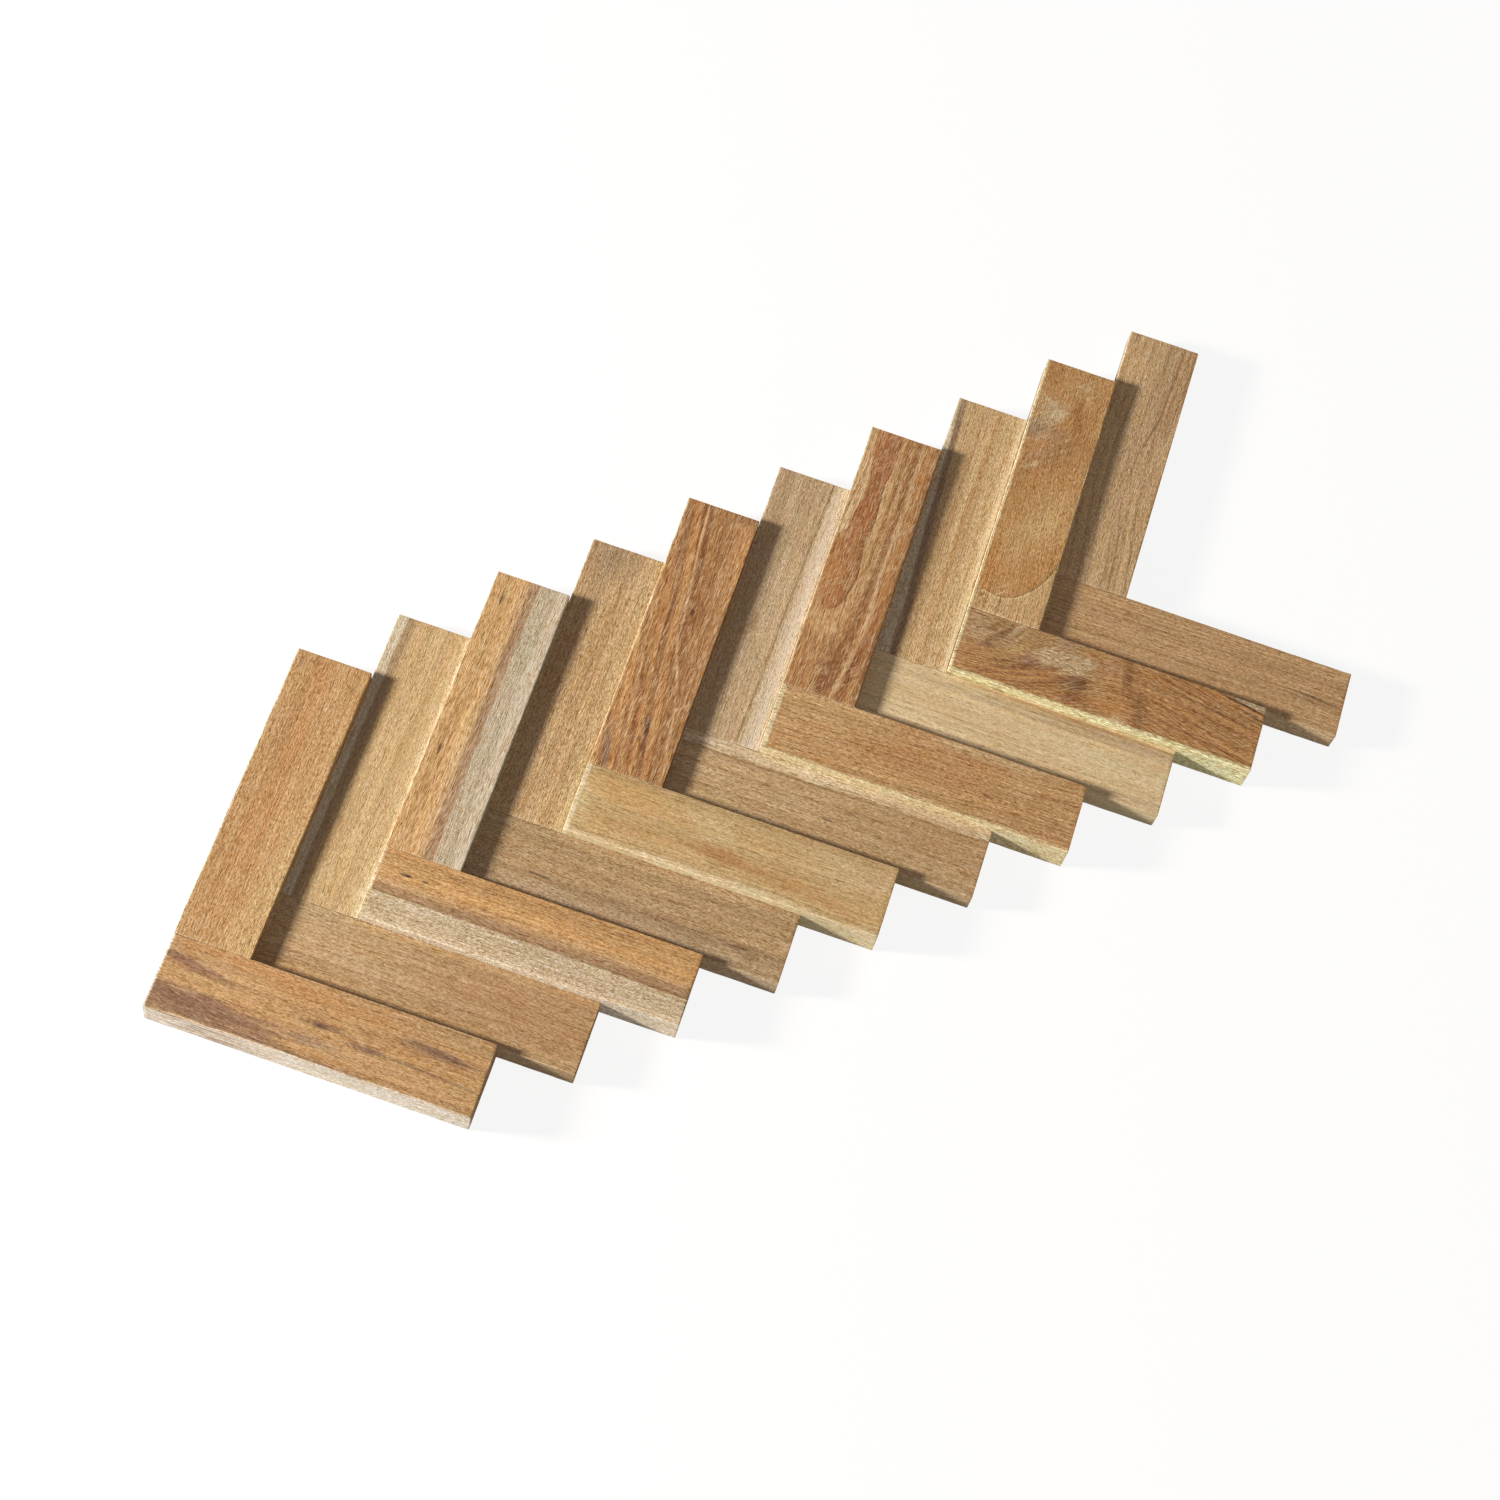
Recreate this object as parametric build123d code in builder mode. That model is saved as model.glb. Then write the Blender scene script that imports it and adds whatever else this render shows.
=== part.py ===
from build123d import *
import os
from math import sqrt

# Wooden wall panel of interlocking chevrons, in millimetres.
#
# Twenty solid teak bars, ten up-running and ten down-running, lie edge to edge. An up-running
# bar stands on the side of a down-running one, and the pair makes a chevron whose point faces
# -X. Each next chevron nests inside the last, one bar width further on. Odd chevrons are cut
# from thicker stock than even ones, so the face steps up and down by turns, while every bar
# ends on one flat back.
#
# The panel lies on its back: +X runs along the row of chevrons, +Z out of the face. The origin
# is the middle of the panel's outline, on the back.

# Driving dimensions of a bar
bar_width = 45.0
bar_length = 189.0
raised_thickness = 21.0
low_thickness = 15.0

# Sanded arrises: round the face, and down the four upright corners
face_arris = 0.8
corner_arris = 1.0

chevron_count = 10

# The chevrons are laid out on a square grid of bar widths, with the point of each one on the
# grid's diagonal. The grid is turned 45 degrees, so that the diagonal runs along X.
diagonal = 1 / sqrt(2)
up_run = Vector(diagonal, diagonal, 0)
down_run = Vector(diagonal, -diagonal, 0)

# The outline's reach from the grid's first corner
outline_start = -bar_width * diagonal
outline_end = ((2 * chevron_count - 1) * bar_width + bar_length) * diagonal
outline_top = bar_length * diagonal
outline_bottom = -(bar_length + bar_width) * diagonal
outline_middle = Vector((outline_start + outline_end) / 2, (outline_top + outline_bottom) / 2, 0)


def grid_point(along_down, along_up):
    # A place on the back, so far down-run and up-run from the grid's first corner
    return down_run * along_down + up_run * along_up - outline_middle


def make_bar(label, corner, run, thickness):
    # The bar leaves the corner along the run, with its width to the left of the run
    back = Plane(origin=corner, x_dir=run, z_dir=(0, 0, 1))
    with BuildPart() as bar:
        with BuildSketch(back):
            Rectangle(bar_length, bar_width, align=(Align.MIN, Align.MIN))
        extrude(amount=thickness)
        fillet(bar.edges().filter_by(Axis.Z), radius=corner_arris)
        fillet(bar.faces().sort_by(Axis.Z)[-1].edges(), radius=face_arris)
    bar.part.label = label
    return bar.part


os.makedirs("parts", exist_ok=True)

for index in range(chevron_count):
    number = f"{index + 1:02d}"
    thickness = raised_thickness if index % 2 == 0 else low_thickness
    step = index * bar_width
    up_bar = make_bar(f"up_bar_{number}", grid_point(step + bar_width, step), up_run, thickness)
    down_bar = make_bar(f"down_bar_{number}", grid_point(step, step - bar_width), down_run, thickness)
    for bar in (up_bar, down_bar):
        export_step(bar, f"parts/{bar.label}.step")

print(f"outline {outline_end - outline_start:.1f} x {outline_top - outline_bottom:.1f} mm")
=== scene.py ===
from math import radians

import bpy
from mathutils import Euler, Matrix, Vector


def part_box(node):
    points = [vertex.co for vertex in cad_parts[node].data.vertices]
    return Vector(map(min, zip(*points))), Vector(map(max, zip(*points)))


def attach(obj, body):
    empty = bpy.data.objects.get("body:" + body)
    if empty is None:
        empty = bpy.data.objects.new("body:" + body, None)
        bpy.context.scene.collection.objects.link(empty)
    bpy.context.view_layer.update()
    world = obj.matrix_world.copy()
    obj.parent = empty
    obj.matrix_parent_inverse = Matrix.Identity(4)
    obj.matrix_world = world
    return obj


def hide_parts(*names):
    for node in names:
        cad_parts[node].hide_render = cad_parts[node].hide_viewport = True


# Wooden wall panel: twenty sanded teak bars in raised and low chevrons, lying on its back.
# Metres in the scene, millimetres in the dictionaries and in the wood's own patterns.

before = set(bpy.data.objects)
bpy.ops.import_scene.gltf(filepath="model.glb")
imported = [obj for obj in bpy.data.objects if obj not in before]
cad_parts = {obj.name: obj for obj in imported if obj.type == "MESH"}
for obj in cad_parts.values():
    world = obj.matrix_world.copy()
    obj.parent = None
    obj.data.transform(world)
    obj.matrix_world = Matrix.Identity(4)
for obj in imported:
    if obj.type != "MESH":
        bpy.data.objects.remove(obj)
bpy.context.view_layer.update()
mm = 0.001
pureWhite = (1, 1, 1, 1)


def addNode(tree, kind, inputs=None, **settings):
    # One node with its settings. An input is a value, an output socket, or a node for its first output.
    node = tree.nodes.new(kind)
    for key, value in settings.items():
        setattr(node, key, value)
    for key, value in (inputs or {}).items():
        if isinstance(value, bpy.types.Node):
            value = value.outputs[0]
        if isinstance(value, bpy.types.NodeSocket):
            tree.links.new(value, node.inputs[key])
        else:
            node.inputs[key].default_value = value
    return node


def emptyTree(owner):
    # The node tree of a material or of the world, with nothing in it yet
    owner.use_nodes = True
    owner.node_tree.nodes.clear()
    return owner.node_tree


def newGroup(name, kind, inputs, outputs):
    # A node group with its named sockets
    tree = bpy.data.node_groups.new(name, kind)
    for direction, sockets in (("INPUT", inputs), ("OUTPUT", outputs)):
        for socketName, socketKind in sockets:
            tree.interface.new_socket(socketName, in_out=direction, socket_type="NodeSocket" + socketKind)
    return tree


def linearColour(hexText):
    # sRGB hex to linear RGBA
    parts = [int(hexText[i:i + 2], 16) / 255 for i in (1, 3, 5)]
    return [p / 12.92 if p <= 0.04045 else ((p + 0.055) / 1.055) ** 2.4 for p in parts] + [1.0]


print("camera and light")

camera = {
    "place": (-0.5518, -0.6068, 1.6150),
    "aim": (-0.0022, -0.0077, 0.0),
    "roll": 16.7,      # degrees, the right side of the picture lifted
    "lens": 73.84,     # mm on the sensor
    "sensor": 36,      # mm wide
}
keyLamp = {
    "place": (-2.52, 1.25, 1.02),
    "aim": (0.0, 0.0, 0.0),
    "size": 0.46,      # softens the shadows on the low bars over 3 to 4 mm
    "watts": 170.0,
    "colour": "#FFF8F0",
}
frontCard = {
    "place": (-0.75, -1.60, 0.32),
    "aim": (0.0, 0.0, 0.0),
    "size": 0.9,       # a white card low in front, which opens up the shaded front sides
    "watts": 3.2,
    "colour": "#FFFFFF",
}
skyFill = {
    "strength": 0.18,      # dome light on the object
    "colour": "#FFEEE9",   # warm, as light thrown back from wood is
}
floorLook = {
    "size": 24.0,
    "colour": "#F3F2F0",
    "glow": 0.84,      # share of the floor's white that no shadow dims, as the camera sees it
    "white": 1.06,
}


def pointAt(place, aim, roll=0.0):
    place = Vector(place)
    turn = (Vector(aim) - place).to_track_quat("-Z", "Y").to_matrix().to_4x4()
    return Matrix.Translation(place) @ turn @ Matrix.Rotation(radians(roll), 4, "Z")


cameraData = bpy.data.cameras.new("camera")
cameraData.lens = camera["lens"]
cameraData.sensor_width = camera["sensor"]
cameraObject = bpy.data.objects.new("camera", cameraData)
cameraObject.matrix_world = pointAt(camera["place"], camera["aim"], camera["roll"])
bpy.context.collection.objects.link(cameraObject)
bpy.context.scene.camera = cameraObject

for lampName, lamp in (("keyLamp", keyLamp), ("frontCard", frontCard)):
    lampData = bpy.data.lights.new(lampName, "AREA")
    lampData.shape = "DISK"
    lampData.size = lamp["size"]
    lampData.energy = lamp["watts"]
    lampData.color = linearColour(lamp["colour"])[:3]
    lampObject = bpy.data.objects.new(lampName, lampData)
    lampObject.matrix_world = pointAt(lamp["place"], lamp["aim"])
    bpy.context.collection.objects.link(lampObject)

# The dome lights the wood softly, and is white to the camera and in reflections
world = bpy.data.worlds.new("studioDome")
bpy.context.scene.world = world
tree = emptyTree(world)
path = addNode(tree, "ShaderNodeLightPath").outputs
seen = addNode(tree, "ShaderNodeMath", {0: path["Is Camera Ray"], 1: path["Is Glossy Ray"]},
               operation="MAXIMUM")
seen = addNode(tree, "ShaderNodeMath", {0: seen, 1: path["Is Transmission Ray"]}, operation="MAXIMUM")
strength = addNode(tree, "ShaderNodeMapRange", {"Value": seen, "To Min": skyFill["strength"], "To Max": 1.0})
tint = addNode(tree, "ShaderNodeMix", {0: seen, 6: linearColour(skyFill["colour"]), 7: pureWhite},
               data_type="RGBA")
dome = addNode(tree, "ShaderNodeBackground", {"Color": tint.outputs[2], "Strength": strength})
addNode(tree, "ShaderNodeOutputWorld", {"Surface": dome})

# Matt paper floor: most of what the camera sees of it is its own white, the rest takes shadow
floorMaterial = bpy.data.materials.new("palePaperFloor")
tree = emptyTree(floorMaterial)
path = addNode(tree, "ShaderNodeLightPath").outputs
paper = addNode(tree, "ShaderNodeBsdfDiffuse", {"Color": linearColour(floorLook["colour"])})
white = addNode(tree, "ShaderNodeEmission", {"Color": pureWhite, "Strength": floorLook["white"]})
glow = addNode(tree, "ShaderNodeMath", {0: path["Is Camera Ray"], 1: floorLook["glow"]}, operation="MULTIPLY")
mixed = addNode(tree, "ShaderNodeMixShader", {0: glow, 1: paper, 2: white})
addNode(tree, "ShaderNodeOutputMaterial", {"Surface": mixed})

half = floorLook["size"] / 2
corners = [(-half, -half, 0), (half, -half, 0), (half, half, 0), (-half, half, 0)]
floorMesh = bpy.data.meshes.new("floor")
floorMesh.from_pydata(corners, [], [(0, 1, 2, 3)])
floorMesh.materials.append(floorMaterial)
floorObject = bpy.data.objects.new("floor", floorMesh)
bpy.context.collection.objects.link(floorObject)

bpy.context.scene.view_settings.view_transform = "Standard"

print("teak patterns")

barSize = {"length": 189.0, "width": 45.0, "run": 45.0}    # mm, and degrees from +X, as in the part
noiseSpan = (0.3, 0.7)    # nearly all of a noise lies between these

# Sizes of the growth figure, in mm along, across and through a bar
growth = {
    "seedShift": (37.1, 17.3, 5.9),
    "swaySize": (95, 34, 34),
    "trembleSize": (40, 7, 7),
    "tremble": 0.9,
    "patchSize": (95, 9, 9),
    "patchShows": (0.32, 0.68),    # levels of the noise between which a patch deepens
    "weatherRun": 0.45,       # a spell of good or lean years lasts about two rings
    "weatherPush": 1.9,       # rings that the spells move the later ones by
    "lineStops": ((0.06, 1.0), (0.22, 0.45), (0.5, 0.06), (0.8, 0.16)),    # share of a year, how dark
    "lineEnds": (0.85, 0.60),      # how dark as a year starts and ends
}

# What the saw, the planer and the sander leave, in mm along, across and through a bar.
# A tuft is a part of some noise: it shows between the two levels of that noise.
sanding = {
    "seedShift": (11.7, 29.3, 3.1),
    "markTear": (18, 1.3, 1.3),         # fibre bundles that tear the edge of a mark
    "fibreSize": (55, 0.8, 0.8),        # bundles, because single fibres are finer than a pixel
    "gritSize": (1, 0.75, 0.75),        # torn fibre ends from the saw, times each bar's grit length
    "fleck": {"size": (0.7, 1, 1), "detail": 1, "shows": (0.48, 0.64)},      # dark, across the grain
    "pore": {"size": (8, 0.6, 0.6), "detail": 1, "shows": (0.57, 0.69)},     # twice the real width, to show
    "poresOffLine": 0.45,               # share of the pores that lie away from the ring lines
    "hair": {"size": (7, 0.6, 0.6), "detail": 1, "shows": (0.55, 0.70)},     # pale, torn up along the grain
    "hairLean": -7,
    "hairColour": "#F0D8AE",
    "scratch": {"size": (9, 0.45, 6), "detail": 0, "shows": (0.62, 0.78)},   # the sander's, across the face
    "scratchPatch": {"size": (30, 16, 16), "detail": 1, "shows": (0.42, 0.62)},
    "cloudSize": (26, 7, 7),            # redder and yellower clouds
    "cloudTint": (0.17, 0.0, 0.22),
    "contrast": (0.70, 0.97, 1.45),     # of red, green and blue from the fibres' tops to the hollows
    "facing": (0.6, 0.95),              # cosines between which a surface comes to face an axis
    "arris": (0.985, 0.85),             # the same from a flat face to its arris
    "wornPale": 0.5,                    # how much of the rim's colour every arris has
    "rimFade": (1.6, 0.8),              # mm past the rim's own width
    "rimFray": 2.0,                     # mm by which fibres fray the rim
    "sideTint": (0.87, 0.93, 0.98, 1),
    "endTint": (0.70, 0.78, 0.92, 1),   # sawn ends drink in more light than the planed sides do
    # Painted shade on the side or end towards the lamp: its tint, and where it starts from that edge and
    # below the face
    "lampSideShadeTint": (0.58, 0.68, 0.78, 1),
    "lampSideShadeEdge": (1.1, 0.5),           # mm from the edge towards the lamp
    "lampSideShadeDepth": (0.8, 2.8),          # mm below the face
    "roughness": (0.52, 0.70),          # from the fibres' hollows to their tops
    "fibreRise": 0.6,                   # bump of the fibres and the pores beside the grit's
    "poreRise": -0.7,
    "relief": 0.00022,                  # metres of bump from the top of a fibre to the foot of a pore
    "gloss": 0.35,
    "ior": 1.5,
}


def streaks(tree, point, size, shift, detail, roughness=0.5):
    # Noise in streaks of the given size
    scaled = addNode(tree, "ShaderNodeVectorMath", {0: point, 1: [1 / each for each in size], 2: shift},
                     operation="MULTIPLY_ADD")
    return addNode(tree, "ShaderNodeTexNoise",
                   {"Vector": scaled, "Scale": 1.0, "Detail": detail, "Roughness": roughness})


def swing(tree, point, size, shift, detail, roughness=0.5):
    # The colour of such streaks as a push to either side of zero
    noise = streaks(tree, point, size, shift, detail, roughness)
    return addNode(tree, "ShaderNodeVectorMath", {0: noise.outputs["Color"], 1: (0.5, 0.5, 0.5)},
                   operation="SUBTRACT")


def woodMarkGroup():
    # The mask of one mark in the wood: an oval along the grain, with edges that fray into fibres
    tree = newGroup("woodMark", "ShaderNodeTree",
                    [("Point", "Vector"), ("Centre", "Vector"), ("Reach", "Vector"), ("Lean", "Float"),
                     ("Soft", "Float"), ("Fray", "Float")],
                    [("Mask", "Float")])
    given = addNode(tree, "NodeGroupInput").outputs
    away = addNode(tree, "ShaderNodeVectorMath", {0: given["Point"], 1: given["Centre"]},
                   operation="SUBTRACT")
    turned = addNode(tree, "ShaderNodeVectorRotate", {"Vector": away, "Angle": given["Lean"]},
                     rotation_type="Z_AXIS")
    share = addNode(tree, "ShaderNodeVectorMath", {0: turned, 1: given["Reach"]}, operation="DIVIDE")
    distance = addNode(tree, "ShaderNodeVectorMath", {0: share}, operation="LENGTH")
    # Fibre bundles tear the edge along the mark's own run
    tear = streaks(tree, turned, sanding["markTear"], given["Centre"], 1.0)
    tear = addNode(tree, "ShaderNodeMath", {0: tear, 1: 0.5}, operation="SUBTRACT")
    frayed = addNode(tree, "ShaderNodeMath", {0: tear, 1: given["Fray"], 2: distance.outputs["Value"]},
                     operation="MULTIPLY_ADD")
    outer = addNode(tree, "ShaderNodeMath", {0: 1.0, 1: given["Soft"]}, operation="ADD")
    inner = addNode(tree, "ShaderNodeMath", {0: 1.0, 1: given["Soft"]}, operation="SUBTRACT")
    mask = addNode(tree, "ShaderNodeMapRange", {"Value": frayed, "From Min": outer, "From Max": inner},
                   interpolation_type="SMOOTHSTEP")
    addNode(tree, "NodeGroupOutput", {"Mask": mask})
    return tree


def teakFigureGroup():
    # Growth rings as shells round the tree's pith, so that faces, sides and ends agree
    tree = newGroup("teakFigure", "ShaderNodeTree",
                    [("Point", "Vector"), ("Seed", "Float"), ("Pith", "Vector"), ("Tilt", "Vector"),
                     ("Ring Gap", "Float"), ("Wander", "Float"), ("Knot", "Vector"), ("Knot Reach", "Vector"),
                     ("Knot Push", "Float")],
                    [("Bent", "Vector"), ("Ring Line", "Float"), ("Ring Tone", "Float"), ("Mottle", "Float")])
    given = addNode(tree, "NodeGroupInput").outputs
    shift = addNode(tree, "ShaderNodeVectorMath", {0: growth["seedShift"], "Scale": given["Seed"]},
                    operation="SCALE")

    # The grain wanders slowly, and trembles over shorter runs
    slow = swing(tree, given["Point"], growth["swaySize"], shift, 1.0)
    sway = addNode(tree, "ShaderNodeCombineXYZ", {"X": 0.0, "Y": given["Wander"], "Z": given["Wander"]})
    bent = addNode(tree, "ShaderNodeVectorMath", {0: slow, 1: sway, 2: given["Point"]},
                   operation="MULTIPLY_ADD")
    quick = swing(tree, bent, growth["trembleSize"], shift, 2.0)
    tremble = (0.0, growth["tremble"], growth["tremble"])
    bent = addNode(tree, "ShaderNodeVectorMath", {0: quick, 1: tremble, 2: bent}, operation="MULTIPLY_ADD")

    # Distance from the pith, which leans through the bar by Tilt mm for each mm along it
    along = addNode(tree, "ShaderNodeSeparateXYZ", {0: bent})
    lean = addNode(tree, "ShaderNodeVectorMath", {0: given["Tilt"], "Scale": along.outputs["X"]},
                   operation="SCALE")
    pith = addNode(tree, "ShaderNodeVectorMath", {0: given["Pith"], 1: lean}, operation="ADD")
    away = addNode(tree, "ShaderNodeVectorMath", {0: bent, 1: pith}, operation="SUBTRACT")
    away = addNode(tree, "ShaderNodeVectorMath", {0: away, 1: (0, 1, 1)}, operation="MULTIPLY")
    radius = addNode(tree, "ShaderNodeVectorMath", {0: away}, operation="LENGTH")

    # A knot pushes the rings aside in a bell-shaped swelling
    toKnot = addNode(tree, "ShaderNodeVectorMath", {0: bent, 1: given["Knot"]}, operation="SUBTRACT")
    toKnot = addNode(tree, "ShaderNodeVectorMath", {0: toKnot, 1: given["Knot Reach"]}, operation="DIVIDE")
    fall = addNode(tree, "ShaderNodeVectorMath", {0: toKnot, 1: toKnot}, operation="DOT_PRODUCT")
    fall = addNode(tree, "ShaderNodeMath", {0: fall.outputs["Value"], 1: -1.0}, operation="MULTIPLY")
    bell = addNode(tree, "ShaderNodeMath", {0: fall}, operation="EXPONENT")
    field = addNode(tree, "ShaderNodeMath", {0: bell, 1: given["Knot Push"], 2: radius.outputs["Value"]},
                    operation="MULTIPLY_ADD")

    # Good and lean years make wide and narrow rings
    years = addNode(tree, "ShaderNodeMath", {0: field, 1: given["Ring Gap"]}, operation="DIVIDE")
    weather = addNode(tree, "ShaderNodeMath", {0: years, 1: growth["weatherRun"], 2: given["Seed"]},
                      operation="MULTIPLY_ADD")
    weather = addNode(tree, "ShaderNodeTexNoise", {"W": weather, "Scale": 1.0, "Detail": 1.0},
                      noise_dimensions="1D")
    years = addNode(tree, "ShaderNodeMath", {0: weather, 1: growth["weatherPush"], 2: years},
                    operation="MULTIPLY_ADD")
    within = addNode(tree, "ShaderNodeMath", {0: years}, operation="FRACT")
    year = addNode(tree, "ShaderNodeMath", {0: years}, operation="FLOOR")
    # The year opens with a dark row of wide pores, fades, and closes a little darker
    line = addNode(tree, "ShaderNodeValToRGB", {"Fac": within})
    line.color_ramp.interpolation = "EASE"
    stops = line.color_ramp.elements
    for end, dark in zip(stops, growth["lineEnds"]):
        end.color = (dark, dark, dark, 1)
    for stop, dark in growth["lineStops"]:
        stops.new(stop).color = (dark, dark, dark, 1)
    tone = addNode(tree, "ShaderNodeTexWhiteNoise", {"W": year}, noise_dimensions="1D")

    # Patches of deeper colour, drawn out along the grain
    patch = streaks(tree, bent, growth["patchSize"], shift, 3.0, 0.6)
    mottle = addNode(tree, "ShaderNodeMapRange",
                     {"Value": patch, "From Min": growth["patchShows"][0],
                      "From Max": growth["patchShows"][1]}, interpolation_type="SMOOTHSTEP")
    addNode(tree, "NodeGroupOutput",
            {"Bent": bent, "Ring Line": line, "Ring Tone": tone.outputs["Value"], "Mottle": mottle})
    return tree


def teakSurfaceGroup():
    # What sawing and sanding leave: fibres, torn ends, pores, pale hairs, cross scratches, paler worn
    # arrises; also a painted highlight and painted shade on the edge towards the lamp
    tree = newGroup("teakSurface", "ShaderNodeTree",
                    [("Colour", "Color"), ("Point", "Vector"), ("Bent", "Vector"), ("Seed", "Float"),
                     ("Ring Line", "Float"), ("Fibre", "Float"), ("Grit", "Float"), ("Grit Length", "Float"),
                     ("Pores", "Float"), ("Hairs", "Float"), ("Scratches", "Float"),
                     ("Scratch Lean", "Float"), ("Speckle", "Float"), ("Edge", "Float"), ("Top", "Float"),
                     ("Rim", "Float"), ("Rim Pale", "Float"), ("Rim Colour", "Color"), ("Along", "Vector")],
                    [("Colour", "Color"), ("Roughness", "Float"), ("Height", "Float")])
    given = addNode(tree, "NodeGroupInput").outputs
    shift = addNode(tree, "ShaderNodeVectorMath", {0: sanding["seedShift"], "Scale": given["Seed"]},
                    operation="SCALE")

    def tufts(point, tuft, *shares):
        # Only the highest parts of such streaks, as a mask, and of that as much as the shares say
        noise = streaks(tree, point, tuft["size"], shift, tuft["detail"], 0.6)
        mask = addNode(tree, "ShaderNodeMapRange",
                       {"Value": noise, "From Min": tuft["shows"][0], "From Max": tuft["shows"][1]},
                       interpolation_type="SMOOTHSTEP")
        for share in shares:
            mask = addNode(tree, "ShaderNodeMath", {0: mask, 1: share}, operation="MULTIPLY")
        return mask

    def shadeBy(pattern, amount):
        # A factor round 1: the pattern, 0 to 1, times the amount
        middle = addNode(tree, "ShaderNodeMath", {0: pattern, 1: 0.5}, operation="SUBTRACT")
        return addNode(tree, "ShaderNodeMath", {0: middle, 1: amount, 2: 1.0}, operation="MULTIPLY_ADD")

    fibre = streaks(tree, given["Bent"], sanding["fibreSize"], shift, 3.0, 0.62)
    shorten = addNode(tree, "ShaderNodeMath", {0: 1.0, 1: given["Grit Length"]}, operation="DIVIDE")
    shorten = addNode(tree, "ShaderNodeCombineXYZ", {"X": shorten, "Y": 1.0, "Z": 1.0})
    shorten = addNode(tree, "ShaderNodeVectorMath", {0: given["Bent"], 1: shorten}, operation="MULTIPLY")
    grit = streaks(tree, shorten, sanding["gritSize"], shift, 2.0, 0.7)
    fleck = tufts(given["Bent"], sanding["fleck"], given["Speckle"])
    fleckShade = addNode(tree, "ShaderNodeMath", {0: 1.0, 1: fleck}, operation="SUBTRACT")

    # Pores crowd along the ring lines
    near = addNode(tree, "ShaderNodeMapRange",
                   {"Value": given["Ring Line"], "To Min": sanding["poresOffLine"], "To Max": 1.0})
    pore = tufts(given["Bent"], sanding["pore"], near)
    poreShade = addNode(tree, "ShaderNodeMath", {0: pore, 1: given["Pores"]}, operation="MULTIPLY")
    poreShade = addNode(tree, "ShaderNodeMath", {0: 1.0, 1: poreShade}, operation="SUBTRACT")

    # The normal in the bar's own frame tells the arrises and the sawn ends from the faces
    normal = addNode(tree, "ShaderNodeTexCoord").outputs["Normal"]
    side = addNode(tree, "ShaderNodeVectorMath", {0: (0, 0, 1), 1: given["Along"]}, operation="CROSS_PRODUCT")
    steep = []
    for axis in (given["Along"], side, (0, 0, 1)):
        dot = addNode(tree, "ShaderNodeVectorMath", {0: normal, 1: axis}, operation="DOT_PRODUCT")
        steep.append(addNode(tree, "ShaderNodeMath", {0: dot.outputs["Value"]}, operation="ABSOLUTE"))
    level = addNode(tree, "ShaderNodeMath", {0: steep[0], 1: steep[1]}, operation="MAXIMUM")
    toEnd, toSide, upright = [
        addNode(tree, "ShaderNodeMapRange",
                {"Value": each, "From Min": sanding["facing"][0], "From Max": sanding["facing"][1]},
                interpolation_type="SMOOTHSTEP")
        for each in (steep[0], steep[1], level)]
    most = addNode(tree, "ShaderNodeMath", {0: level, 1: steep[2]}, operation="MAXIMUM")
    arris = addNode(tree, "ShaderNodeMapRange",
                    {"Value": most, "From Min": sanding["arris"][0], "From Max": sanding["arris"][1]})

    # Pale hairs all over, and scratches on the faces alone
    hair = addNode(tree, "ShaderNodeVectorRotate",
                   {"Vector": given["Point"], "Angle": radians(sanding["hairLean"])}, rotation_type="Z_AXIS")
    hair = tufts(hair, sanding["hair"], given["Hairs"])
    crossed = addNode(tree, "ShaderNodeVectorRotate",
                      {"Vector": given["Point"], "Angle": given["Scratch Lean"]}, rotation_type="Z_AXIS")
    where = tufts(given["Point"], sanding["scratchPatch"])
    face = addNode(tree, "ShaderNodeMath", {0: 1.0, 1: upright}, operation="SUBTRACT")
    crossed = tufts(crossed, sanding["scratch"], where, given["Scratches"], face)
    hair = addNode(tree, "ShaderNodeMath", {0: hair, 1: crossed}, operation="MAXIMUM")

    # Painted shade: the side or the end towards the lamp is darkened and greyed below its arris, to hold down
    # the strong lamp light there
    lampSideShade = addNode(tree, "ShaderNodeMapRange",
                     {"Value": given["Edge"], "From Min": sanding["lampSideShadeEdge"][0],
                      "From Max": sanding["lampSideShadeEdge"][1]})
    height = addNode(tree, "ShaderNodeSeparateXYZ", {0: given["Point"]}).outputs["Z"]
    below = addNode(tree, "ShaderNodeMath", {0: given["Top"], 1: height}, operation="SUBTRACT")
    below = addNode(tree, "ShaderNodeMapRange",
                    {"Value": below, "From Min": sanding["lampSideShadeDepth"][0],
                     "From Max": sanding["lampSideShadeDepth"][1]}, interpolation_type="SMOOTHSTEP")
    for share in (upright, below):
        lampSideShade = addNode(tree, "ShaderNodeMath", {0: lampSideShade, 1: share}, operation="MULTIPLY")
    outsideLampSideShade = addNode(tree, "ShaderNodeMath", {0: 1.0, 1: lampSideShade}, operation="SUBTRACT")
    tint = pureWhite
    for share, itsTint in ((toSide, "sideTint"), (toEnd, "endTint"), (lampSideShade, "lampSideShadeTint")):
        tint = addNode(tree, "ShaderNodeMix", {0: share, 6: tint, 7: sanding[itsTint]},
                       data_type="RGBA").outputs[2]

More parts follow.
